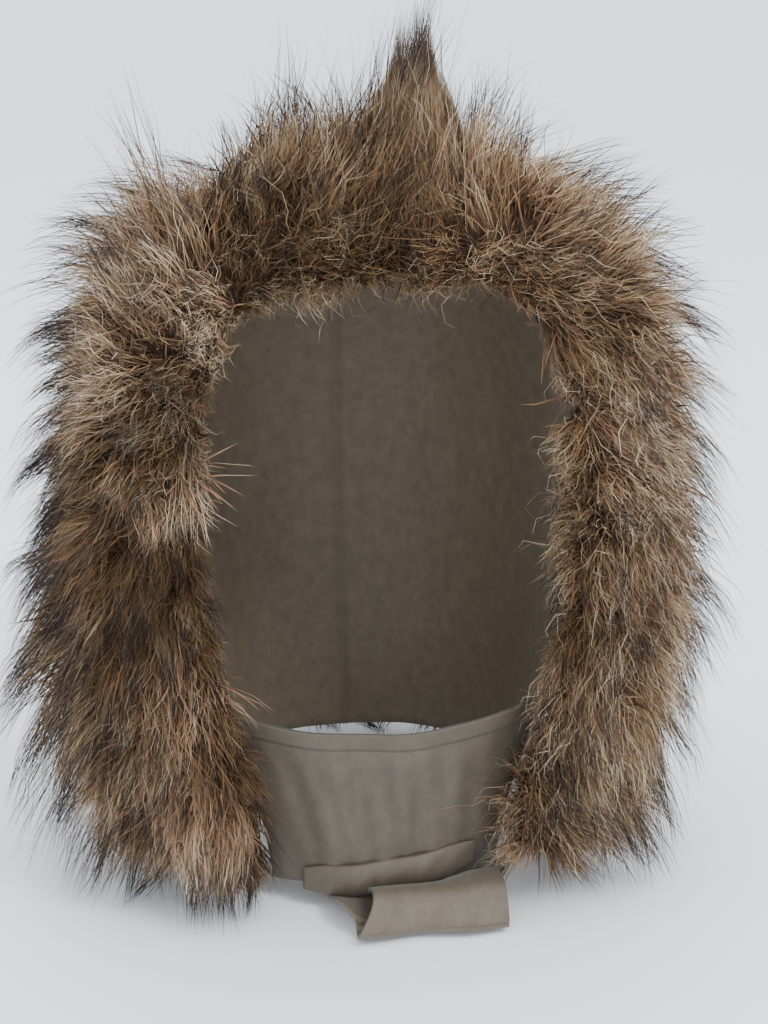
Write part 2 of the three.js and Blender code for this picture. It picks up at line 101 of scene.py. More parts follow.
# How far hair lies down along the flow, by its drop below the crown
HOOD_LEAN = np.array([
    (0.0, 0.4), (0.06, 0.35), (0.26, 0.4), (0.5, 0.5), (0.73, 0.75), (0.83, 0.95), (0.9, 1.3), (1.0, 2.0),
])
HOOD_FLOW = np.array([0.0, 0.35, -1.0])
UNDERFUR_DEPTH = 24 * MM
LOBE_DEPTH = 28 * MM
USUAL_REACH = 40 * MM

# Lobes and hollows in the mass of fur: place, spread and depth, each fading out over its spread
FUR_LOBES = np.array([
    (-60, -42, 12, 12, -1.0), (-78, -58, 4, 20, 1.7), (-17, -62, 18, 22, 1.4),
    (-104, -40, -62, 40, -0.4), (78, -40, -14, 44, 0.15), (104, -30, -100, 44, 0.15),
    (-104, -30, -142, 36, 0.2), (-98, -40, -190, 62, 0.9), (98, -40, -185, 58, 0.75),
]) * (MM, MM, MM, MM, 1)

# Where the fur is painted darker, or lighter below zero: painted shade in the clefts at the rim and round the peak's
# foot, painted light on the right side and its top where the light falls, and elsewhere the fur's own darker or lighter
# tone. Each has a place, a spread and how much
SHADE_LIGHT_AND_TONE_PATCHES = np.array([
    (2, -79, 4, 15, 0.75), (-26, -68, 20, 24, 0.38), (-86, -60, -12, 28, 0.2),
    (34, -56, 24, 20, -0.3), (56, -50, 26, 34, -0.25), (-118, -36, -85, 32, 0.35),
    (-100, -68, -134, 36, 0.8), (-100, -68, -180, 30, -0.25), (124, -50, -85, 60, -0.4),
    (92, -70, -80, 24, 0.25), (-72, -78, -96, 20, 0.3), (110, -60, -185, 44, -0.2),
]) * (MM, MM, MM, MM, 1)

# The hair parts here near the crown: its place across and how far the parting reaches
PARTING_X = -57 * MM
PARTING_REACH = 11 * MM

# Where hair of the front half turns another way: place across and up, spread, and the turn across and up
FUR_TURNS = np.array([
    (-84, -8, 34, -0.15, 1.0), (-44, 4, 16, 0.9, 0.3), (0, 0, 60, 0.0, 0.15),
]) * (MM, MM, MM, 1, 1)

# How far locks of the left side of the ruff hang down, and how far that side's hair gathers in locks
LEFT_HANG = 0.95
LEFT_GATHER = 0.4

# How far apart locks are, how far apart the broader tufts are, and how much locks lean together in a tuft
HOOD_LOCK_GAP = 10 * MM
RUFF_LOCK_GAP = 6.5 * MM
HOOD_TUFT_GAP = 25 * MM
RUFF_TUFT_GAP = 17 * MM
TUFT_PULL = (0.1, 0.65)

# Spots that are tried for locks on one side of the hood and of the ruff
HOOD_LOCK_SPOTS = 5000
RUFF_LOCK_SPOTS = 2600

# How much less far than straight on a hair gets at its full length, and how far it bends there
HAIR_SLOWING = 0.15
HAIR_BEND = 0.35
SHORTEST_LOCK = 9 * MM
LOCK_WAVE = 2.2 * MM

# The peak: its profile is shares of its height and of its radius. Fur of the ruff leans up round its foot.
PEAK_BASE = np.array([8.0, -71.0, 10.0]) * MM
PEAK_TIP = np.array([11.0, -63.0, 93.0]) * MM
PEAK_PROFILE = np.array([
    (-0.1, 1.0), (0.0, 1.1), (0.2, 1.2), (0.36, 1.12), (0.48, 0.96), (0.58, 0.8), (0.66, 0.67), (0.74, 0.58),
    (0.84, 0.54), (0.93, 0.47), (1.03, 0.38),
])
PEAK_WAY = PEAK_TIP - PEAK_BASE
PEAK_BODY_TOP = 0.8
PEAK_RADIUS = 16 * MM
PEAK_DRAW = 35 * MM
PEAK_LOCKS = 9

# Kinds of hair: the strip of the colour map, or none for rust and cream, the steps along a hair, its least and most
# reach as shares of the pile, how it scatters and clumps, its curl in mm and turns of curl, and its width in mm
HAIR_COLUMNS = ("colour", "steps", "least", "most", "scatter", "clump", "curl", "turns", "width")
HAIR_ROWS = {
    "nap": ("wool", 2, 0.16, 0.32, 1.0, 0.0, 0.6, 0.5, 0.6),
    "wool": ("wool", 3, 0.35, 0.7, 0.45, 0.2, 1.6, 0.7, 0.85),
    "fluff": ("", 5, 0.5, 0.84, 0.3, 0.25, 2.3, 1.4, 0.22),
    "down": ("halo", 5, 0.55, 0.88, 0.26, 0.25, 2.0, 1.2, 0.22),
    "banded": ("", 4, 0.58, 0.88, 0.1, 0.6, 1.2, 0.8, 0.3),
    "guard": ("guard", 4, 0.9, 1.42, 0.1, 0.9, 0.4, 0.5, 0.36),
    "stray": ("guard", 5, 1.15, 1.65, 0.2, 0.3, 1.2, 0.5, 0.2),
    "wisp": ("wisp", 6, 0.75, 1.15, 0.25, 0.35, 3.4, 1.6, 0.15),
}
HAIR_KINDS = {kind: dict(zip(HAIR_COLUMNS, row)) for kind, row in HAIR_ROWS.items()}

# Half the width of a hair on the colour map for each metre of its own width, so that wide ones show streaks
MAP_PER_WIDTH = 13

# Hairs tried of each kind, and for the peak also how high they reach
HOOD_HAIRS = {"nap": 3600, "wool": 5700, "down": 5400, "banded": 6000, "guard": 9000, "stray": 500}
RUFF_HAIRS = {"nap": 5000, "wool": 6000, "fluff": 8300, "banded": 5000, "guard": 2900, "stray": 300, "wisp": 2300}
PEAK_HAIRS = {"banded": (1700, 0.7), "guard": (4300, 1.0)}

# Cloth
THICK_CLOTH = 1.4 * MM
FLAP_THICKNESS = 1.3 * MM
THIN_CLOTH = 1.2 * MM
THROAT_TOP_Z = -188 * MM
THROAT_BOTTOM_Z = -262 * MM
THROAT_HALF_WIDTH = 63 * MM
BAND_MIDDLE_Z = -256 * MM
BAND_HEIGHT = 13 * MM
BAND_RISE = 3.7 * MM
FLAP_LEFT_X = -17 * MM
FLAP_RIGHT_X = 45 * MM
FLAP_HEM = (-103, -271)
FLAP_BACK = [(-78, -266.4), (-85, -266.6), (-92, -266.8)]
FLAP_FRONT = [(-105.5, -262.5), (-102.5, -258.5), (-98, -255.5)]
FLAP_TOP = [(-91, -256.5), (-85, -260), (-80.5, -263.6)]


def unit(vectors):
    return vectors / np.maximum(np.linalg.norm(vectors, axis=-1, keepdims=True), 1e-12)


def smoothstep(value, low, high):
    share = np.clip((value - low) / (high - low), 0, 1)
    return share * share * (3 - 2 * share)


def nearness(points, place, spread):
    """1 at a place, and fading away over its spread"""
    return np.exp(-np.sum((points - np.array(place)) ** 2, axis=-1) / spread ** 2)


def looked_up(table, at):
    """The other columns of a table, where its first column has the given values"""
    return np.stack([np.interp(at, table[:, 0], column) for column in table.T[1:]], axis=-1)


def grid(rows, columns):
    """Places across and down a sheet of points, from 0 to 1"""
    return np.meshgrid(np.linspace(0, 1, columns), np.linspace(0, 1, rows))


def ripple(points, scale, seed):
    """A smooth, repeatable unevenness of about -1 to 1 over a set of points"""
    rng = np.random.default_rng(seed)
    total = 0
    for _ in range(6):
        wave = rng.normal(size=3) / scale
        total = total + np.sin(points @ wave + rng.random() * 2 * math.pi)
    return total / 2.4


def along_rows(rows, share):
    """Rows of numbers joined by a smooth curve, at shares from 0 to 1"""
    last = len(rows) - 1
    place = np.clip(np.asarray(share, float), 0, 1) * last
    index = np.minimum(place.astype(int), last - 1)
    t = (place - index)[..., None]
    here = rows[index]
    there = rows[index + 1]
    before = rows[np.maximum(index - 1, 0)]
    after = rows[np.minimum(index + 2, last)]
    curve = 2 * here + (there - before) * t
    curve += (2 * before - 5 * here + 4 * there - after) * t ** 2
    return 0.5 * (curve + (3 * here - before - 3 * there + after) * t ** 3)


def squared(value):
    return np.sign(value) * np.abs(value) ** (2 / HOOD_SQUARENESS)


def hood_point(level, angle):
    """The hood's surface, by level (0 at the crown, 1 at the neck) and angle (0 in front, a right angle at +X)"""
    row = along_rows(HOOD_ROWS, level)
    depth = np.where(np.cos(angle) > 0, row[..., 2] * HOOD_FRONT, row[..., 3] * HOOD_BACK)
    x = row[..., 1] * HOOD_HALF_WIDTH * squared(np.sin(angle))
    return np.stack([x, -depth * squared(np.cos(angle)), -row[..., 0] * HOOD_HEIGHT], axis=-1)


def hood_normal(level, angle):
    down = hood_point(np.minimum(level + 0.01, 1), angle) - hood_point(np.maximum(level - 0.01, 0.001), angle)
    around = hood_point(level, angle + 0.1) - hood_point(level, angle - 0.1)
    return unit(np.cross(down, around))


LEVELS = np.linspace(0, 1, 2001)
DROPS = along_rows(HOOD_ROWS, LEVELS)[:, 0]


def level_of_drop(drop):
    return np.interp(drop, DROPS, LEVELS)


def rim_y(z):
    return RIM_TOP_Y + RIM_LEAN * z


def rim_angle(level):
    """The angle at which the plane of the rim cuts the hood at each level"""
    low = np.zeros_like(level)
    high = np.full_like(level, math.pi / 2)
    for _ in range(30):
        middle = (low + high) / 2
        point = hood_point(level, middle)
        in_front = point[..., 1] < rim_y(point[..., 2])
        low = np.where(in_front, middle, low)
        high = np.where(in_front, high, middle)
    return low


def rim_points(level, sign):
    point = hood_point(level, rim_angle(level))
    return np.stack([sign * point[..., 0], rim_y(point[..., 2]), point[..., 2]], axis=-1)


def rim_table():
    """The rim of the cloth hood from its left end over the crown to its right end: share along it, place and tangent"""
    front = hood_point(LEVELS, np.zeros_like(LEVELS))
    top = LEVELS[np.argmax(front[:, 1] < rim_y(front[:, 2]))]
    spread = np.linspace(0, 1, 200) ** 1.4
    level = top + (level_of_drop(RUFF_END_DROP) - top) * spread
    points = np.vstack([rim_points(level, -1)[::-1][:-1], rim_points(level, 1)])
    lengths = np.concatenate([[0], np.cumsum(np.linalg.norm(np.diff(points, axis=0), axis=1))])
    shares = lengths / lengths[-1]
    return np.column_stack([shares, points, unit(np.gradient(points, shares, axis=0))])


RIM = rim_table()


def along_rim(share):
    """The rim's points at shares of its length, and the ways outwards from the opening there"""
    row = looked_up(RIM, share)
    return row[..., :3], unit(np.cross(RIM_FORWARD, row[..., 3:]))


def frame_fur(names):
    """The frame's fur as one tree of faces to look for"""
    points = []
    faces = []
    for name in names:
        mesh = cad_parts[name].data
        first = len(points)
        points += [v.co.copy() for v in mesh.vertices]
        faces += [[first + i for i in face.vertices] for face in mesh.polygons]
    return BVHTree.FromPolygons(points, faces)


FRAME_FUR = frame_fur(["fur_left", "fur_right", "ruff_left", "ruff_right"])
FAR = 0.1


def fur_reach(roots, directions, usual):
    """How far the frame's fur reaches from each root along its direction"""
    reach = np.empty(len(roots))
    for index, (root, direction) in enumerate(zip(roots, directions)):
        way = Vector(direction)
        hit = FRAME_FUR.ray_cast(Vector(root) + way * FAR, -way, FAR)
        reach[index] = FAR - hit[3] if hit[0] is not None else usual[index]
    return reach


def spaced_out(points, gap):
    """The places of those points that keep a gap from each other"""
    kept = []
    chosen = np.empty((0, 3))
    for index, point in enumerate(points):
        if len(chosen) and np.min(np.sum((chosen - point) ** 2, axis=1)) < gap * gap:
            continue
        kept.append(index)
        chosen = np.vstack([chosen, point])
    return np.array(kept)


def nearest(points, to, strength):
    """For each point, the index of the nearest of another set, where a strong one draws from further off"""
    owner = np.empty(len(points), int)
    size = np.sum(to ** 2, axis=1) - strength
    for start in range(0, len(points), 2000):
        part = points[start:start + 2000]
        owner[start:start + 2000] = np.argmin(size - 2 * part @ to.T, axis=1)
    return owner


def hood_spots(sign, count, rng):
    """Spots spread evenly over one side of the hood behind the rim: where each is, and the way out of the hood"""
    level = np.sqrt(rng.random(8 * count)) * level_of_drop(FUR_BOTTOM_DROP)
    first = rim_angle(level)
    angle = first + (math.pi - first) * rng.random(8 * count)
    step = 0.004
    across = np.cross(
        hood_point(level + step, angle) - hood_point(level, angle),
        hood_point(level, angle + step) - hood_point(level, angle),
    )
    area = np.linalg.norm(across, axis=1) * (math.pi - first) / np.sqrt(np.maximum(level, 1e-4))
    area = np.minimum(area, np.quantile(area, 0.995))
    keep = rng.random(len(area)) * area.max() < area
    level = level[keep][:count]
    angle = sign * angle[keep][:count]
    normal = hood_normal(level, angle)
    return hood_point(level, angle) + normal * HIDE_OFFSET, normal


def patches(table, points):
    """How much the patches of a table add up to at each point"""
    return sum(much * nearness(points, place, spread) for *place, spread, much in table)


def fur_lobe(points):
    """How much deeper or shallower the fur is near each point, as a share"""
    return patches(FUR_LOBES, points)


def hood_hide(points, normals):
    """The face of the underfur over spots of the hood"""
    depth = UNDERFUR_DEPTH * (1 + 0.15 * ripple(points, 10 * MM, 4)) + 0.4 * LOBE_DEPTH * fur_lobe(points)
    depth *= (1 - 0.5 * parting(points)) * (1 - 0.8 * smoothstep(-points[..., 2], 226 * MM, 254 * MM))
    out = points + normals * depth[..., None]
    out[..., 1] = np.maximum(out[..., 1], rim_y(out[..., 2]) + 0.6 * MM)
    out[..., 2] = np.maximum(out[..., 2], UNDERFUR_LOWEST_Z)
    return out


def hood_guides(sign, rng):
    """Guides for the locks on one side of the hood"""
    spots, normals = hood_spots(sign, HOOD_LOCK_SPOTS, rng)
    kept = spaced_out(spots, HOOD_LOCK_GAP)
    spots = spots[kept]
    normals = normals[kept]
    roots = hood_hide(spots, normals)
    flow = np.tile(HOOD_FLOW, (len(roots), 1))
    flow[:, 0] += 0.5 * sign * (rng.random(len(roots)) - 0.35) + 0.5 * ripple(spots, 30 * MM, 21)
    flow -= normals * np.sum(flow * normals, axis=1, keepdims=True)
    lean = looked_up(HOOD_LEAN, -spots[:, 2] / HOOD_HEIGHT)
    near_rim = 1 - smoothstep(spots[:, 1] - rim_y(spots[:, 2]), 0, 45 * MM)
    direction = normals + flow * lean + 0.2 * swirl(spots, 26 * MM, 22) + 0.16 * rng.normal(size=roots.shape)
    direction += RIM_FORWARD * (0.25 * near_rim)[:, None] + turned(spots)
    direction, by_peak = drawn_to_peak(direction, spots, np.ones(len(spots)))
    usual = USUAL_REACH + 0.6 * LOBE_DEPTH * fur_lobe(spots) + 9 * MM * by_peak
    usual *= 1 - 0.7 * parting(spots)
    return finished_guides(roots, normals, unit(direction), flow, usual, HOOD_TUFT_GAP, rng)


def parting(points):
    """How near each point is to the parting beside the crown, from 0 to 1"""
    near = nearness(points[..., :1], PARTING_X, PARTING_REACH)
    return near * smoothstep(points[..., 2], -60 * MM, -25 * MM) * (1 - smoothstep(points[..., 1], 0, 60 * MM))


def turned(points):
    """How hair turns away from its usual way, at the parting and where the table says"""
    turn = np.zeros_like(points)
    turn[:, 0] = np.where(points[:, 0] < PARTING_X, -0.15, 0.4) * parting(points)
    front = 1 - smoothstep(points[:, 1], 20 * MM, 80 * MM)
    for *place, spread, across, up in FUR_TURNS:
        share = front * nearness(points[:, ::2], place, spread)
        turn += share[:, None] * np.array([across, 0, up])
    return turn


def drawn_to_peak(direction, points, across):
    """Directions of hair near the peak turned up towards it, and how much each is turned"""
    share = nearness(points[:, :2], PEAK_BASE[:2], PEAK_DRAW)
    share = 0.85 * share * smoothstep(across, 0.25, 0.55)
    up = unit(PEAK_BASE + PEAK_WAY * 0.66 - points)
    return unit(direction) * (1 - share[:, None]) + up * share[:, None], share


def swirl(points, scale, seed):
    """A smooth, repeatable unevenness of direction"""
    return np.stack([ripple(points, scale, seed + axis) for axis in range(3)], axis=-1)


def finished_guides(roots, normals, direction, bend, usual, tuft_gap, rng):
    """Guides that reach about as far as the frame's fur, leaning together in tufts"""
    chord = (1 - HAIR_SLOWING) * direction + HAIR_BEND * bend
    size = np.linalg.norm(chord, axis=1)
    reach = fur_reach(roots, chord / size[:, None], usual)
    reach = np.clip(0.5 * reach + 0.5 * usual, 0.8 * usual, 1.3 * usual) / size
    fall = np.maximum(-chord[:, 2], 0.05)
    reach = np.minimum(reach * (0.85 + 0.3 * rng.random(len(reach))), (roots[:, 2] - FUR_LOWEST_Z) / fall)
    length = np.maximum(reach, SHORTEST_LOCK)[:, None]
    heads = spaced_out(roots, tuft_gap)
    tuft = nearest(roots, roots[heads], 0)
    tips = roots + length * chord
    pull = TUFT_PULL[0] + (TUFT_PULL[1] - TUFT_PULL[0]) * rng.random((len(roots), 1))
    tips += pull * (tips[heads][tuft] - tips)
    tone = rng.normal(size=len(roots))
    streaks = 0.17 + 0.1 * smoothstep(-roots[:, 0], -40 * MM, 60 * MM)
    # Painted shade and painted light, with some of the fur's own darker or lighter tone, from the patches
    shade_light_and_tone = patches(SHADE_LIGHT_AND_TONE_PATCHES, roots)
    left = smoothstep(-roots[:, 0], -20 * MM, 60 * MM)
    cream = 0.44 + 0.1 * left + 0.55 * rng.normal(size=len(roots)) + 0.5 * ripple(roots, 18 * MM, 9)
    cream += left * (smoothstep(cream, 0.2, 0.9) - cream)
    low = left * smoothstep(-roots[:, 2], 0, 50 * MM)
    pale = low * (1 - smoothstep(-roots[:, 2], 160 * MM, 210 * MM))
    return {
        "root": roots,
        "normal": normals,
        "direction": ((tips - roots) / length - HAIR_BEND * bend) / (1 - HAIR_SLOWING),
        "bend": bend,
        "length": length[:, 0],
        "tone": 0.5 - shade_light_and_tone + streaks * (0.7 * tone + 0.6 * tone[heads][tuft] + 0.5 * ripple(roots, 16 * MM, 8)),
        "cream": cream + 0.35 * pale - shade_light_and_tone,
        "strength": (9 * MM * rng.random(len(roots))) ** 2,
        "clump": 0.7 + 0.45 * rng.random(len(roots)),
        "gather": LEFT_GATHER * low,
        "pale": pale,
        "sway": unit(np.cross(direction, rng.normal(size=roots.shape))),
        "phase": 2 * math.pi * rng.random(len(roots)),
    }


def ruff_side(share, sign):
    """The share along the whole rim of a share from the neck to the crown on one side"""
    return 0.5 + sign * 0.5 * (1 - share)


def on_ruff_hide(point, out, share, across, sign):
    """The face of the ruff's hide, which tapers towards the neck"""
    size = RUFF_HIDE_SHARE * (0.35 + 0.65 * smoothstep(share, 0, 0.1))
    section = along_rows(RUFF_SECTION, across) * size[..., None]
    outwards = section[..., :1] * np.where(section[..., :1] > 0, RUFF_SCALE[sign], 1.0)
    return point + out * outwards + RIM_FORWARD * (section[..., 1:] + RUFF_LIFT)


def ruff_spots(sign, count, rng):
    """Spots over one side of the ruff's hide: where, the way out of the hide, and the share across"""
    share = 1.04 * rng.random(3 * count) ** 1.08
    across = rng.random(3 * count)
    point, out = along_rim(ruff_side(share, sign))
    keep = sign * (point[:, 0] - RUFF_JOIN_X) > 0
    point, out, share, across = (part[keep][:count] for part in (point, out, share, across))
    spots = on_ruff_hide(point, out, share, across, sign)
    row = looked_up(RUFF_POINTING, across)
    facing = unit(out * row[:, :1] + RIM_FORWARD * row[:, 1:2])
    return spots, facing, across, row[:, 2] * MM


def ruff_guides(sign, rng):
    spots, facing, across, usual = ruff_spots(sign, RUFF_LOCK_SPOTS, rng)
    kept = spaced_out(spots, RUFF_LOCK_GAP)
    spots, facing, across, usual = (part[kept] for part in (spots, facing, across, usual))
    step = np.clip((spots[:, 2] + 0.24) / 0.22, 0, 1)
    droop = 1 - smoothstep(step, 0.2, 0.95)
    fall = np.zeros_like(spots)
    fall[:, 0] = 0.2 * (rng.random(len(spots)) - 0.5) - 0.25 * sign * droop
    fall[:, 2] = -1
    fall *= (0.25 + 0.75 * droop)[:, None]
    direction = facing + fall * (0.1 + (0.7 - 0.2 * sign) * droop)[:, None]
    direction += 0.45 * swirl(spots, 18 * MM, 32) + 0.18 * rng.normal(size=spots.shape)
    if sign < 0:
        hang = LEFT_HANG * smoothstep(-spots[:, 2], 15 * MM, 70 * MM) * (1 - 0.8 * smoothstep(across, 0.6, 0.95))
        direction[:, 2] -= hang
    inner = 1 - smoothstep(across, 0.25, 0.7)
    direction += 0.25 * inner[:, None] * rng.normal(size=spots.shape)
    direction, by_peak = drawn_to_peak(direction + turned(spots), spots, across)
    fall = fall * (1 - by_peak[:, None]) + unit(PEAK_WAY) * 0.4 * by_peak[:, None]
    usual = usual + 0.6 * LOBE_DEPTH * fur_lobe(spots) + 12 * MM * by_peak
    usual *= 1 - 0.4 * parting(spots)
    guides = finished_guides(spots, facing, unit(direction), fall, usual, RUFF_TUFT_GAP, rng)
    guides["clump"] *= 1 - 0.45 * inner
    # Painted shade: the inner part of the ruff is darker, most of all in a narrow band near the opening's edge
    guides["tone"] -= 0.08 * inner + 0.3 * np.exp(-((across - 0.24) / 0.1) ** 2)
    guides["cream"] -= (0.4 + 0.12 * sign) * (1 - smoothstep(across, 0.3, 0.85)) * (1 - guides["pale"])
    return guides


def sprouted(guides, roots, kind, rng):
    """Hairs of one kind at their roots, each following the lock that it belongs to"""
    shape = HAIR_KINDS[kind]
    count = len(roots)
    owner = nearest(roots, guides["root"], guides["strength"])
    own = {key: part[owner].reshape(count, 1, -1) for key, part in guides.items()}
    share = np.linspace(0, 1, shape["steps"] + 1)[None, :, None]
    along = share * (shape["least"] + (shape["most"] - shape["least"]) * rng.random((count, 1, 1)) ** 0.8)
    direction = unit(own["direction"] + shape["scatter"] * rng.normal(size=(count, 1, 3)))
    line = own["length"] * (direction * along * (1 - HAIR_SLOWING * along) + HAIR_BEND * own["bend"] * along ** 2)
    line += LOCK_WAVE * np.minimum(2 * along, 1) * own["sway"] * np.sin(own["phase"] + 4 * along)
    clump = np.minimum(shape["clump"] * own["clump"] + own["gather"], 0.93)
    away = roots[:, None] - own["root"]
    paths = own["root"] + away * (1 - clump * np.clip(along, 0, 1) ** 1.2) + line
    side = unit(np.cross(own["direction"], rng.normal(size=(count, 1, 3))))
    other = unit(np.cross(side, own["direction"]))
    phase = rng.random((count, 1, 1)) * 2 * math.pi
    turn = 2 * math.pi * shape["turns"] * share + phase
    size = shape["curl"] * MM * (0.5 + rng.random((count, 1, 1)))
    paths += size * share * (side * (np.sin(turn) - np.sin(phase)) + other * (np.cos(turn) - np.cos(phase)))
    tone = own["tone"][..., 0] + 0.045 * rng.normal(size=(count, 1))
    cream = own["cream"][..., 0]
    if kind == "wisp":
        tone += 0.22
    if kind == "fluff":
        cream = cream * own["pale"][..., 0]
    return {
        "paths": kept_near(paths),
        "outward": unit(own["normal"] + 0.8 * unit(away)),
        "width": shape["width"] * MM * (0.75 + 0.5 * rng.random((count, 1))),
        "place": map_place(shape["colour"], tone, rng.random((count, 1)) < cream),
    }


def kept_near(paths):
    """Hairs drawn in to their roots where they would stray far outside the frame's solids"""
    low = np.array(CAD_BOX[0]) - STRAY_MARGIN
    high = np.array(CAD_BOX[1]) + STRAY_MARGIN
    low[2] = FUR_LOWEST_Z - 3 * MM
    root = paths[:, :1]
    away = paths - root
    room = np.where(away > 0, high - root, root - low)
    keep = np.min(room / np.maximum(np.abs(away), 1e-9), axis=(1, 2))
    return root + away * np.clip(keep, 0.2, 1)[:, None, None]


def map_place(colour, tone, cream):
    """Where across the colour map each hair is: its strip, and how light it is within the strip"""
    if colour:
        strip = STRIPS.index(colour)
    else:
        strip = np.where(cream, STRIPS.index("cream"), STRIPS.index("rust"))
    return (strip + 0.08 + 0.84 * np.clip(tone, 0, 1)) / len(STRIPS)


def ribbon_batch(batch, rng):
    """Points, faces, map places and shading normals of hairs as narrow tapered ribbons"""
    paths = batch["paths"]
    count, steps, _ = paths.shape

    def edged(middle, apart):
        """Both edges of each ribbon at every step but the last, and its tip"""
        pairs = np.stack([middle - apart, middle + apart], axis=2)[:, :-1]
        return np.concatenate([pairs.reshape(count, 2 * steps - 2, -1), middle[:, -1:]], axis=1)

    tangents = unit(np.gradient(paths, axis=1))
    side = unit(np.cross(tangents, unit(rng.normal(size=(count, 1, 3)))))
    face = np.cross(side, tangents)
    flip = np.where(np.sum(face * batch["outward"], axis=-1).mean(axis=1) < 0, -1.0, 1.0)[:, None, None]
    side *= flip
    face *= flip
    share = np.linspace(0, 1, steps)[None, :]
    points = edged(paths, side * 0.5 * (batch["width"] * (1 - share ** 3))[..., None])
    normals = unit(0.5 * unit(edged(face, 0.6 * side)) + batch["outward"])
    place = np.stack(np.broadcast_arrays(batch["place"], batch.get("along", share)), axis=-1)
    places = edged(place, MAP_PER_WIDTH * batch["width"][..., None] * (1, 0))
    quads = np.array([[2 * k, 2 * k + 1, 2 * k + 3, 2 * k + 2] for k in range(steps - 2)])
    tips = np.array([[2 * steps - 4, 2 * steps - 3, 2 * steps - 2]])
    first = (np.arange(count) * (2 * steps - 1))[:, None, None]
    return [part.reshape(-1, part.shape[-1]) for part in (points, quads + first, tips + first, places, normals)]


def hair_piece(name, batches, rng):
    """One mesh of ribbons from several batches of hairs"""
    made = [ribbon_batch(batch, rng) for batch in batches]
    counts = [len(parts[0]) for parts in made]
    first = np.concatenate([[0], np.cumsum(counts)[:-1]])
    points, places, normals = (np.vstack([parts[k] for parts in made]) for k in (0, 3, 4))
    quads, tips = (np.vstack([parts[k] + start for parts, start in zip(made, first)]) for k in (1, 2))
    corners = np.concatenate([quads.ravel(), tips.ravel()])
    starts = np.concatenate([np.arange(len(quads)) * 4, 4 * len(quads) + np.arange(len(tips)) * 3])
    mesh = bpy.data.meshes.new(name)
    mesh.vertices.add(len(points))
    mesh.vertices.foreach_set("co", points.astype(np.float32).ravel())
    mesh.loops.add(len(corners))
    mesh.loops.foreach_set("vertex_index", corners.astype(np.int32))
    mesh.polygons.add(len(starts))
    mesh.polygons.foreach_set("loop_start", starts.astype(np.int32))
    mesh.update(calc_edges=True)
    mesh.shade_smooth()
    layer = mesh.uv_layers.new(name="OFBake")
    layer.uv.foreach_set("vector", np.clip(places[corners], 0, 1).astype(np.float32).ravel())
    mesh.normals_split_custom_set_from_vertices(normals.tolist())
    return placed(name, mesh, HAIR)


def linked(name, data):
    made = bpy.data.objects.new(name, data)
    bpy.context.scene.collection.objects.link(made)
    return made


def placed(name, mesh, material):
    mesh.materials.append(material)
    piece = linked(name, mesh)
    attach(piece, "root")
    return piece


def stands_for(piece, node):
    """Show a piece in place of a node, by hiding the node"""
    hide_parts(node)


def closed_shell(name, outer, inner, material):
    """A closed piece between two grids of points"""
    rows, columns = outer.shape[:2]
    size = rows * columns
    at = np.arange(size).reshape(rows, columns)
    cells = np.stack([at[:-1, :-1], at[:-1, 1:], at[1:, 1:], at[1:, :-1]], axis=-1).reshape(-1, 4)
    edge = np.concatenate([at[0, :-1], at[:-1, -1], at[-1, :0:-1], at[:0:-1, 0]])
    after = np.roll(edge, -1)
    rim = np.stack([after, edge, edge + size, after + size], axis=-1)
    faces = np.vstack([cells, cells[:, ::-1] + size, rim])
    points = np.concatenate([outer.reshape(-1, 3), inner.reshape(-1, 3)])
    mesh = bpy.data.meshes.new(name)
    mesh.from_pydata(points.tolist(), [], faces.tolist())
    mesh.shade_smooth()
    return placed(name, mesh, material)


def give_map(piece, columns, rows, size):
    """A map in metres over both faces of a closed shell, for weave and stitching"""
    index = np.empty(len(piece.data.loops), np.int32)
    piece.data.loops.foreach_get("vertex_index", index)
    index %= columns * rows
    places = np.stack([index % columns / (columns - 1), index // columns / (rows - 1)], axis=-1) * size
    piece.data.uv_layers.new(name="weave").uv.foreach_set("vector", places.astype(np.float32).ravel())


# Materials

def srgb(red, green, blue):
    """A colour as it looks on a screen, from 0 to 255, in the numbers that a shader takes"""
    values = np.array([red, green, blue]) / 255
    linear = np.where(values < 0.04045, values / 12.92, ((values + 0.055) / 1.055) ** 2.4)
    return (*linear.tolist(), 1.0)


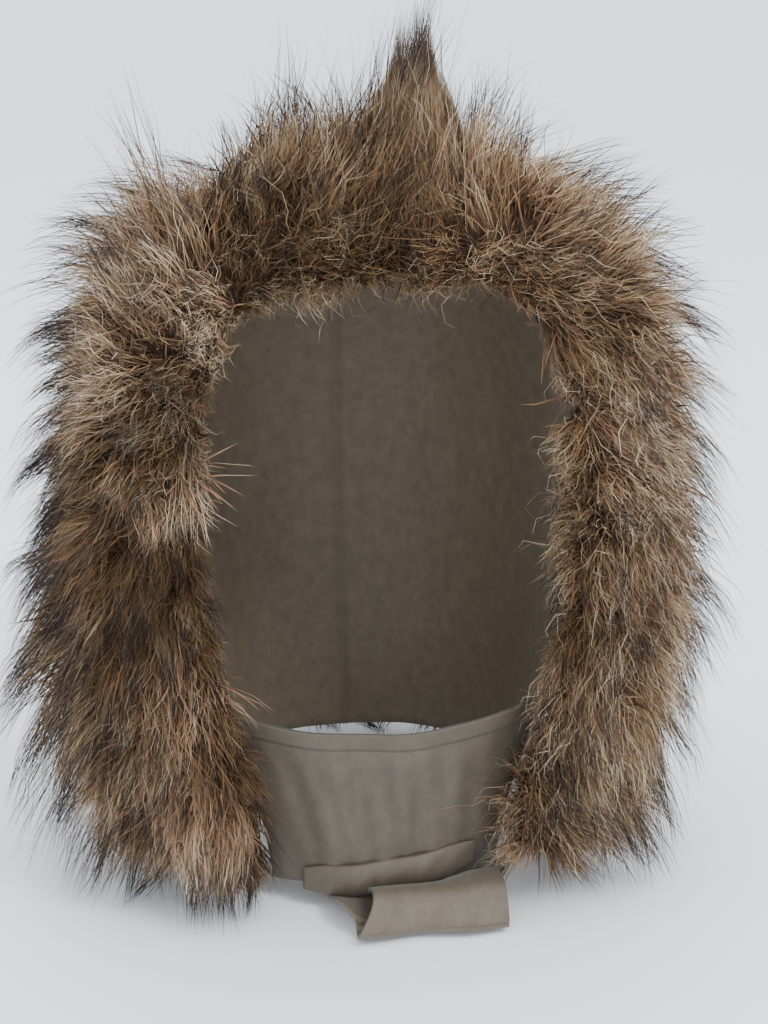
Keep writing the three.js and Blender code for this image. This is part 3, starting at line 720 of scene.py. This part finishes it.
class Nodes:
    """A short way to write a material's nodes"""

    def __init__(self, name):
        self.material = bpy.data.materials.new(name)
        self.material.use_nodes = True
        self.tree = self.material.node_tree
        self.shader = self.tree.nodes["Principled BSDF"]

    def add(self, kind, inputs, **settings):
        """A node with its settings, and its inputs set to values or linked to other nodes"""
        node = self.tree.nodes.new(kind)
        for key, value in settings.items():
            setattr(node, key, value)
        for socket, value in inputs.items():
            self.put(node.inputs[socket], value)
        return node

    def put(self, socket, value):
        if isinstance(value, bpy.types.NodeSocket):
            self.tree.links.new(value, socket)
        else:
            socket.default_value = value

    def maths(self, operation, first, second=0.5, clamp=False):
        return self.add("ShaderNodeMath", {0: first, 1: second}, operation=operation, use_clamp=clamp).outputs[0]

    def ranged(self, value, before, after):
        return self.add("ShaderNodeMapRange", dict(enumerate((value, *before, *after)))).outputs[0]

    def noise(self, place, scale, detail=2, roughness=0.5, **settings):
        inputs = {"Vector": place, "Scale": scale, "Detail": detail, "Roughness": roughness}
        return self.add("ShaderNodeTexNoise", inputs, **settings).outputs[0]

    def ramp(self, source, stops):
        node = self.add("ShaderNodeValToRGB", {0: source})
        points = node.color_ramp.elements
        while len(points) < len(stops):
            points.new(0.5)
        for point, (place, colour) in zip(points, stops):
            point.position = place
            point.color = colour
        return node.outputs[0]

    def mix(self, share, first, second, blend="MIX"):
        inputs = {0: share, 6: first, 7: second}
        return self.add("ShaderNodeMix", inputs, data_type="RGBA", blend_type=blend).outputs[2]

    def surface(self, inputs, relief=None, strength=1.0, distance=0.001):
        """The finished material, with its shader's inputs and a bump from a relief"""
        if relief is not None:
            bump = self.add("ShaderNodeBump", {"Strength": strength, "Distance": distance, "Height": relief})
            self.put(self.shader.inputs["Normal"], bump.outputs[0])
        for socket, value in inputs.items():
            self.put(self.shader.inputs[socket], value)
        return self.material


BLACK = (0, 0, 0, 1)
WHITE = (1, 1, 1, 1)

# Colours from 0 to 255: dark and pale underfur, each from darker to lighter, and the cloth's two tones and its thread
UNDERFUR_BROWNS = ((52, 38, 29), (82, 61, 46), (88, 65, 48), (122, 96, 72))
TAUPES = ((104, 92, 76), (126, 113, 94), (120, 110, 96))
SEAM_SHADE = srgb(70, 62, 52)
STITCH_LENGTH = 2.2 * MM
THREAD_WIDTH = 0.5 * MM

# Colour of each kind of hair from its root to its tip: the share of its length, then the colour from 0 to 255
STRIP_STOPS = {
    "wool": [(0, 62, 44, 32), (0.4, 112, 82, 58), (1, 156, 122, 90)],
    "rust": [(0, 78, 55, 39), (0.4, 134, 99, 70), (0.75, 174, 138, 101), (1, 196, 167, 132)],
    "cream": [(0, 80, 58, 43), (0.32, 140, 107, 76), (0.6, 196, 169, 132), (0.85, 228, 211, 182), (1, 186, 164, 138)],
    "guard": [
        (0, 82, 60, 44), (0.26, 138, 108, 78), (0.4, 172, 144, 108), (0.53, 94, 73, 61), (0.66, 60, 47, 45),
        (1, 46, 38, 39),
    ],
    "wisp": [(0, 134, 104, 74), (0.35, 204, 178, 138), (1, 238, 222, 190)],
    # halo: pale tips of the down, partly the fur's own cream and partly a painted glow of light round the outline
    "halo": [(0, 78, 55, 39), (0.35, 130, 98, 70), (0.65, 184, 152, 114), (0.85, 222, 202, 168), (1, 232, 216, 188)],
}
STRIPS = list(STRIP_STOPS)


def fur_material(name, light):
    """Hair coloured along its length by the map's height, and by its strip and lightness across the map"""
    nodes = Nodes(name)
    place = nodes.add("ShaderNodeUVMap", {}, uv_map="OFBake").outputs[0]
    across, along, _ = nodes.add("ShaderNodeSeparateXYZ", {0: place}).outputs
    tones = [nodes.ramp(along, [(at, srgb(*rgb)) for at, *rgb in stops]) for stops in STRIP_STOPS.values()]
    colour = tones[0]
    for index, tone in enumerate(tones[1:], 1):
        colour = nodes.mix(nodes.maths("GREATER_THAN", across, index / len(STRIPS)), colour, tone)
    within = nodes.maths("FRACT", nodes.maths("MULTIPLY", across, len(STRIPS)))
    bright = nodes.ranged(within, (0, 1), (0.26 * light, 1.6 * light))
    inputs = {"Color": colour, "Value": bright}
    inputs["Saturation"] = nodes.ranged(bright, (0.3 * light, 1.3 * light), (1.12, 0.88))
    tinted = nodes.add("ShaderNodeHueSaturation", inputs).outputs[0]
    spread = nodes.add("ShaderNodeMapping", {0: place, "Scale": (330, 4, 1)}).outputs[0]
    streaks = nodes.noise(spread, 1, 1, noise_dimensions="2D")
    fine = nodes.ramp(streaks, [(0.3, (0.62, 0.6, 0.58, 1)), (0.7, WHITE)])
    return nodes.surface({
        "Base Color": nodes.mix(1.0, tinted, fine, "MULTIPLY"),
        "Roughness": 0.6,
        "Specular IOR Level": 0.12,
        "Sheen Weight": 0.03,
        "Sheen Roughness": 0.4,
    })


def underfur_material(name, shade):
    """Short dense fur between the locks: fine streaks and a soft uneven brown"""
    nodes = Nodes(name)
    place = nodes.add("ShaderNodeTexCoord", {}).outputs["Object"]
    stretched = nodes.add("ShaderNodeMapping", {0: place, "Scale": (1, 1, 0.25)}).outputs[0]
    fine = nodes.noise(stretched, 900, 4)
    broad = nodes.noise(place, 45)
    browns = [srgb(*(shade * np.array(brown))) for brown in UNDERFUR_BROWNS]
    dark = nodes.ramp(broad, [(0.3, browns[0]), (0.7, browns[1])])
    pale = nodes.ramp(broad, [(0.3, browns[2]), (0.7, browns[3])])
    colour = nodes.mix(nodes.ramp(fine, [(0.35, BLACK), (0.7, WHITE)]), dark, pale)
    return nodes.surface({"Base Color": colour, "Roughness": 0.9, "Specular IOR Level": 0.1}, fine, 0.8, 0.001)


def cloth_material(name, shade, seams):
    """A fine plain weave in taupe, with slightly uneven threads, a soft sheen and stitched seams.

    A seam is the axis that it lies across, its place on that axis, and the half width that it draws in.
    """
    nodes = Nodes(name)
    place = nodes.add("ShaderNodeUVMap", {}, uv_map="weave").outputs[0]
    split = nodes.add("ShaderNodeSeparateXYZ", {0: place}).outputs
    inputs = {"Vector": place, "Scale": 420, "Distortion": 0.6, "Detail": 1}
    threads = [nodes.add("ShaderNodeTexWave", inputs, bands_direction=way).outputs["Fac"] for way in "XY"]
    slubs = nodes.maths("MULTIPLY", nodes.noise(place, 900, 3), 0.5)
    height = nodes.maths("ADD", nodes.maths("MAXIMUM", *threads), slubs)
    low, high, stitch = (srgb(*(shade * np.array(taupe))) for taupe in TAUPES)
    broad = nodes.ramp(nodes.noise(place, 140, 8, 0.7), [(0.3, low), (0.7, high)])
    # Painted shade: the weave is darker where its threads dip
    groove_shade = nodes.ramp(height, [(0.2, (0.86, 0.86, 0.86, 1)), (0.9, WHITE)])
    colour = nodes.mix(1.0, broad, groove_shade, "MULTIPLY")
    relief = nodes.maths("MULTIPLY", height, 0.05)
    for axis, where, reach in seams:
        away = nodes.maths("ABSOLUTE", nodes.maths("SUBTRACT", split[axis], where))
        dip = nodes.maths("SUBTRACT", 1, nodes.maths("DIVIDE", away, reach), clamp=True)
        dashes = nodes.maths("SINE", nodes.maths("MULTIPLY", split[1 - axis], 2 * math.pi / STITCH_LENGTH))
        on_line = nodes.maths("LESS_THAN", away, THREAD_WIDTH / 2)
        thread = nodes.maths("MULTIPLY", on_line, nodes.maths("GREATER_THAN", dashes, -0.6))
        relief = nodes.maths("SUBTRACT", relief, nodes.maths("MULTIPLY", dip, 0.9))
        relief = nodes.maths("ADD", relief, nodes.maths("MULTIPLY", thread, 0.4))
        colour = nodes.mix(nodes.maths("MULTIPLY", dip, 0.3), colour, SEAM_SHADE)
        colour = nodes.mix(nodes.maths("MULTIPLY", thread, 0.5), colour, stitch)
    looks = {"Base Color": colour, "Roughness": 0.62, "Sheen Weight": 0.15, "Sheen Roughness": 0.4}
    return nodes.surface(looks, relief, 0.7, 0.0006)


HAIR = fur_material("fur_hair", 1.04)
UNDERFUR = underfur_material("underfur", 1.0)
# The ruff's underfur is a darker copy of the hood's: painted shade where it shows between the ruff's locks
RUFF_UNDERFUR_SHADED = underfur_material("ruff_underfur", 0.62)
# The lining is a lighter copy of the flap's taupe cloth: painted light in the hollow of the hood
LINING_LIT = cloth_material("lining_cloth_painted_light", 1.0, [(0, 0.25, 3 * MM), (0, 9 * MM, 2 * MM), (0, 0.491, 2 * MM)])
# The throat panel and the band are darker copies of the flap's taupe cloth: painted shade, where a wearer's chin and
# head would shade them
THROAT_SHADED = cloth_material("throat_weave_painted_shade", 0.67, [(1, 7 * MM, 1.5 * MM)])
BAND_SHADED = cloth_material("band_weave_painted_shade", 0.72, [])
FLAP = cloth_material("flap_weave", 0.8, [])


# Fur

def hood_grid(top, bottom, rows, columns, sides, sign):
    """Points of the hood behind the rim, in rows of level and columns of angle, and the ways out of it"""
    across, down = grid(rows, columns)
    level = top + (level_of_drop(bottom) - top) * down
    first = rim_angle(level)
    angle = sign * (first + sides * (math.pi - first) * across)
    return hood_point(level, angle), hood_normal(level, angle)


def hood_underfur(name, sign):
    """The closed body of hide and dense fur on one side of the hood"""
    points, normals = hood_grid(0.004, FUR_BOTTOM_DROP, 50, 66, 1, sign)
    inner = points + normals * HIDE_OFFSET
    outer = hood_hide(inner, normals)
    for side in (inner, outer):
        side[..., 0] = sign * np.maximum(sign * side[..., 0], 0.2 * MM)
    inner[..., 1] = np.maximum(inner[..., 1], rim_y(inner[..., 2]) + 0.5 * MM)
    if sign > 0:
        inner, outer = inner[:, ::-1], outer[:, ::-1]
    stands_for(closed_shell(name + "_underfur", outer, inner, UNDERFUR), name)


def hood_roots(sign, kind, count, rng):
    return hood_hide(*hood_spots(sign, count, rng))


def ruff_underfur(name, sign):
    across, share = grid(70, 20)
    share *= 1.03
    point, out = along_rim(ruff_side(share, sign))
    outer = on_ruff_hide(point, out, share, across, sign)
    outer += unit(outer - point) * 0.8 * MM * ripple(outer, 8 * MM, 6)[..., None]
    across = across[..., None]
    inner = outer[:, :1] * (1 - across) + outer[:, -1:] * across + RIM_FORWARD * 0.3 * MM
    for side in (inner, outer):
        side[..., 0] = RUFF_JOIN_X + sign * np.maximum(sign * (side[..., 0] - RUFF_JOIN_X), 0.2 * MM)
    if sign < 0:
        inner, outer = inner[:, ::-1], outer[:, ::-1]
    stands_for(closed_shell(name + "_underfur", outer, inner, RUFF_UNDERFUR_SHADED), name)


def ruff_roots(sign, kind, count, rng):
    """Roots on the ruff: guard hair leaves its upper inner part, and on the left wisps grow only high up"""
    spots, _, across, _ = ruff_spots(sign, count, rng)
    if kind == "guard":
        spots = spots[(across > 0.4) | (spots[:, 2] < -90 * MM)]
    if kind == "wisp" and sign < 0:
        spots = spots[spots[:, 2] > -60 * MM]
    return spots


def fur(name, sign, seed, underfur, make_guides, make_roots, hairs, slot):
    """The underfur of one side of the hood or ruff, and the hairs that grow on it"""
    rng = np.random.default_rng(seed)
    underfur(name, sign)
    guides = make_guides(sign, rng)
    batches = [sprouted(guides, make_roots(sign, kind, count, rng), kind, rng) for kind, count in hairs.items()]
    stands_for(hair_piece(name + "_hair", batches, rng), name)


def peak_radius(height):
    return PEAK_RADIUS * looked_up(PEAK_PROFILE, height)[..., 0]


def peak_ring(height, radius, angle, depth):
    """Points round the middle line of the peak, which is less deep than wide"""
    ring = np.stack([radius * np.cos(angle), depth * radius * np.sin(angle), 0 * radius], axis=-1)
    return PEAK_BASE + PEAK_WAY * height[..., None] + ring


def peak_underfur():
    rows, sides = 24, 25
    height = np.linspace(0, PEAK_BODY_TOP, rows)[:, None]
    angle = np.linspace(0, 2 * math.pi, sides)[None, :]
    radius = 0.5 * (1.02 - (height / PEAK_BODY_TOP) ** 2.5) * peak_radius(height)
    radius = radius * (1 + 0.12 * np.sin(9 * angle + 5 * height))
    outer, inner = (peak_ring(height, share * radius, angle, 0.55)[:, ::-1] for share in (1, 0.7))
    stands_for(closed_shell("peak_underfur", outer, inner, UNDERFUR), "peak_tuft")


def peak_fur(seed):
    """Straight hairs that run together from a broad foot to one point"""
    rng = np.random.default_rng(seed)
    peak_underfur()
    lock_top = 0.88 + 0.18 * rng.random(PEAK_LOCKS)
    lock_turn = 2 * math.pi * (np.arange(PEAK_LOCKS) + 0.2 + 0.6 * rng.random(PEAK_LOCKS)) / PEAK_LOCKS
    lock_dark = 0.67 + 0.12 * np.cos(lock_turn) + 0.12 * rng.random(PEAK_LOCKS)
    batches = []
    for kind, (count, top) in PEAK_HAIRS.items():
        shape = HAIR_KINDS[kind]
        around = rng.random((count, 1)) * 2 * math.pi
        owner = (around * PEAK_LOCKS / (2 * math.pi)).astype(int)
        ridges = np.sin(5 * around + 1) + 0.6 * np.sin(11 * around)
        foot = 0.45 + 0.6 * np.sqrt(rng.random((count, 1))) + 0.08 * ridges
        flank = smoothstep(foot, 0.72, 0.98)
        low = 0.5 * rng.random((count, 1)) - 0.1
        high = top * lock_top[owner] * (0.6 + 0.4 * rng.random((count, 1)) ** 0.8) * (1 - 0.26 * flank)
        share = np.linspace(0, 1, shape["steps"] + 1)[None, :]
        height = low + (np.maximum(high, low + 0.25) - low) * share
        gather = 0.8 * smoothstep(height, 0.55, 1.0)
        wave = 0.04 * PEAK_RADIUS * np.sin(6 * share + 6 * rng.random((count, 1)))
        inner = 0.15 + 0.75 * np.sqrt(rng.random((count, 1)))
        out = peak_radius(height) * (foot * (1 - gather) + inner * gather) + wave
        twist = around + 0.5 * (height - 0.5) * rng.normal(size=(count, 1)) + gather * (lock_turn[owner] - around)
        depth = 0.55 + 0.3 * smoothstep(height, 0.3, 0.7)
        tone = 0.44 + 0.07 * ridges + 0.14 * rng.normal(size=(count, 1)) + 0.12 * flank
        along = height * lock_dark[owner] * (1 - 0.35 * flank) + 0.07 * rng.normal(size=(count, 1))
        batches.append({
            "paths": kept_near(peak_ring(height, out, twist, depth)),
            "outward": np.stack([np.cos(around), np.sin(around), 0 * around], axis=-1),
            "width": shape["width"] * MM * (0.45 + 0.35 * rng.random((count, 1))),
            "place": map_place(shape["colour"], tone, rng.random((count, 1)) < 0.3 + 0.6 * flank),
            "along": np.clip(along, 0, 0.52),
        })
    stands_for(hair_piece("peak_hair", batches, rng), "peak_tuft")


# Cloth

def cloth_sheet(node, name, middle, size, material, thickness):
    """A closed sheet of cloth around a grid of points in place of a node, with its map in metres"""
    down, across = (np.gradient(middle, axis=axis) for axis in (0, 1))
    half = unit(np.cross(down, across)) * thickness / 2
    piece = closed_shell(name, middle + half, middle - half, material)
    give_map(piece, middle.shape[1], middle.shape[0], size)
    stands_for(piece, node)


def lining():
    points, normals = hood_grid(0.003, 1.0, 50, 90, 2, 1)
    creases = 0.45 * MM * ripple(points * (1, 1, 0.35), 7 * MM, 12)[..., None]
    middle = points + normals * (0.8 * MM + np.clip(creases, -1.6 * MM, 0.4 * MM))
    cloth_sheet("lining", "hood_lining", middle, (0.5, 0.33), LINING_LIT, THIN_CLOTH)


def throat_point(across, z, outward):
    level = level_of_drop(np.minimum(-z / HOOD_HEIGHT, 1))
    side = rim_points(level, 1)[..., 0] - 6 * MM
    folds = 0.9 * np.sin(9 * across + 30 * z) + 0.6 * np.sin(5 * across - 60 * z)
    bulge = (15 * (1 - np.abs(across) ** 2.2) + folds * (1 - across * across)) * MM
    pinch = 1 - 0.5 * outward / side
    return np.stack([across * side * pinch, rim_y(z) + 8 * MM - bulge - outward, z + 0 * across], axis=-1)


def throat_panel():
    """The panel under the chin, with a turned hem at its top and soft upright folds"""
    u, v = grid(60, 76)
    across = 2 * u - 1
    z = THROAT_TOP_Z + (THROAT_BOTTOM_Z - THROAT_TOP_Z) * v - 7 * MM * (1 - across ** 2) * (1 - v)
    slack = (1 - across ** 2) * smoothstep(v, 0, 0.3)
    folds = 1.1 * np.sin(13 * across + 2.5 * v) + 0.6 * np.sin(29 * across - 5 * v + 1)
    sag = 0.6 * np.sin(9 * v + 3 * across ** 2)
    hem = 0.7 * (1 - smoothstep(v, 0.08, 0.1))
    middle = throat_point(across, z, (0.9 + (folds + sag) * slack + hem) * MM)
    cloth_sheet(
        "throat_panel", "throat_cloth", middle, (0.15, 0.074), THROAT_SHADED, THICK_CLOTH,
    )


def neck_band():
    """The band rolls out between two tight creases and lies flat at its ends"""
    u, v = grid(28, 70)
    across = 2 * u - 1
    narrow = 1 - 0.3 * across ** 6
    z = BAND_MIDDLE_Z + BAND_HEIGHT * narrow * (0.5 - v) + BAND_RISE * across
    roll = np.sin(math.pi * v ** 0.9) ** 0.6 * (1 - across ** 6)
    wrinkle = 0.3 * np.sin(17 * across + 3 * v) * np.sin(math.pi * v)
    middle = throat_point(0.76 * across, z, (2.9 + 2.6 * roll + wrinkle) * MM)
    cloth_sheet(
        "neck_band", "neck_band_cloth", middle, (0.085, 0.0168), BAND_SHADED, THIN_CLOTH,
    )


def hem_flap():
    """The flap comes forward under the band, turns round its hem, leans up in front and closes back to the band.

    Its left end is turned up in a corner, and the fold stays open beside it.
    """
    turns = 10
    section = list(FLAP_BACK)
    for turn in range(turns + 1):
        angle = math.pi * turn / turns
        section.append((FLAP_HEM[0] + 4 * math.cos(angle), FLAP_HEM[1] + 4.6 - 4 * math.sin(angle)))
    section += FLAP_FRONT + FLAP_TOP
    u, down = grid(64, 72)
    turned = 1 - len(FLAP_TOP) / (len(section) - 1)
    v = np.minimum(down / turned, 1)
    closing = smoothstep(down, turned, 1)
    line = along_rows(np.array(section) * MM, down[:, 0])
    front = smoothstep(v, 0.76, 1)
    back = 1 - smoothstep(v, 0, 0.25)
    left = FLAP_LEFT_X + (7 * front - 9 * back) * MM
    x = left + (FLAP_RIGHT_X - left) * u
    corner = (1 - smoothstep(v, 0.12, 0.3)) * smoothstep(v, 0, 0.12) * (1 - smoothstep(x, -24 * MM, -10 * MM))
    open_end = np.exp(-(u / 0.16) ** 2) * smoothstep(v, 0.5, 0.8) * (1 - 0.5 * front)
    crease = np.exp(-((v - 0.84 + 0.1 * u) / 0.04) ** 2) * smoothstep(u, 0.4, 0.75)
    soft = 0.6 * np.sin(160 * x) * (1 - 0.5 * front) + 0.5 * np.sin(9 * u + 6 * v)
    forward = soft + 1.9 * u * front * (1 - closing) - 3 * corner - 1.6 * open_end + 1.2 * crease
    upward = 7 * corner + 0.5 * np.sin(7 * u + 2) * front + 0.9 * open_end
    across = x / THROAT_HALF_WIDTH
    wall = 15 * np.abs(across) ** 2.2
    band_edge = BAND_RISE * across / 0.76 + 1 * MM * across ** 6
    y = line[:, None, 0] + (forward + wall * closing) * MM
    z = line[:, None, 1] + upward * MM + band_edge * closing
    middle = np.stack([x, y, z], axis=-1)
    size = (0.062, 0.068)
    cloth_sheet("hem_flap", "hem_flap_cloth", middle, size, FLAP, FLAP_THICKNESS)


# Camera, floor and light

def camera():
    azimuth, elevation, distance = math.radians(-8), math.radians(17), 0.69
    target = Vector((0, -0.06, -0.105))
    away = Vector((
        math.sin(azimuth) * math.cos(elevation), -math.cos(azimuth) * math.cos(elevation), math.sin(elevation),
    ))
    data = bpy.data.cameras.new("camera")
    data.sensor_fit = "VERTICAL"
    data.sensor_height = 36
    data.lens = 60.5
    eye = linked("camera", data)
    eye.location = target + away * distance
    eye.rotation_euler = (-away).to_track_quat("-Z", "Y").to_euler()
    bpy.context.scene.camera = eye


def floor():
    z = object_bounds()[0][2] - 0.5 * MM
    mesh = bpy.data.meshes.new("floor")
    side = 80.0
    mesh.from_pydata([(-side, -side, z), (side, -side, z), (side, side, z), (-side, side, z)], [], [(0, 1, 2, 3)])
    nodes = Nodes("floor")
    nodes.surface({"Base Color": srgb(249, 250, 252), "Roughness": 0.9})
    mesh.materials.append(nodes.material)
    linked("floor", mesh)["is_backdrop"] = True


def area_light(name, place, size, power, colour):
    data = bpy.data.lights.new(name, "AREA")
    data.shape = "DISK"
    data.size = size
    data.energy = power
    data.color = colour
    lamp = linked(name, data)
    lamp.location = place
    way = Vector((0, -0.03, -0.1)) - Vector(place)
    lamp.rotation_euler = way.to_track_quat("-Z", "Y").to_euler()


def lights():
    area_light("key", (0.8, -1.2, 1.4), 0.7, 22, (1.0, 0.98, 0.95))
    area_light("front", (-0.3, -1.9, 0.25), 0.9, 3, (1.0, 0.98, 0.96))
    area_light("top", (-0.1, 0.5, 1.6), 1.2, 9, (0.97, 0.98, 1.0))
    world = bpy.data.worlds.new("world")
    world.use_nodes = True
    sky = world.node_tree.nodes["Background"]
    sky.inputs[0].default_value = srgb(234, 241, 250)
    sky.inputs[1].default_value = 2.2
    bpy.context.scene.world = world


camera()
floor()
lights()
lining()
throat_panel()
neck_band()
hem_flap()
HOOD = (hood_underfur, hood_guides, hood_roots, HOOD_HAIRS, "hood_fur")
RUFF = (ruff_underfur, ruff_guides, ruff_roots, RUFF_HAIRS, "ruff_fur")
fur("fur_left", -1, 11, *HOOD)
fur("fur_right", 1, 12, *HOOD)
fur("ruff_left", -1, 13, *RUFF)
fur("ruff_right", 1, 14, *RUFF)
peak_fur(15)
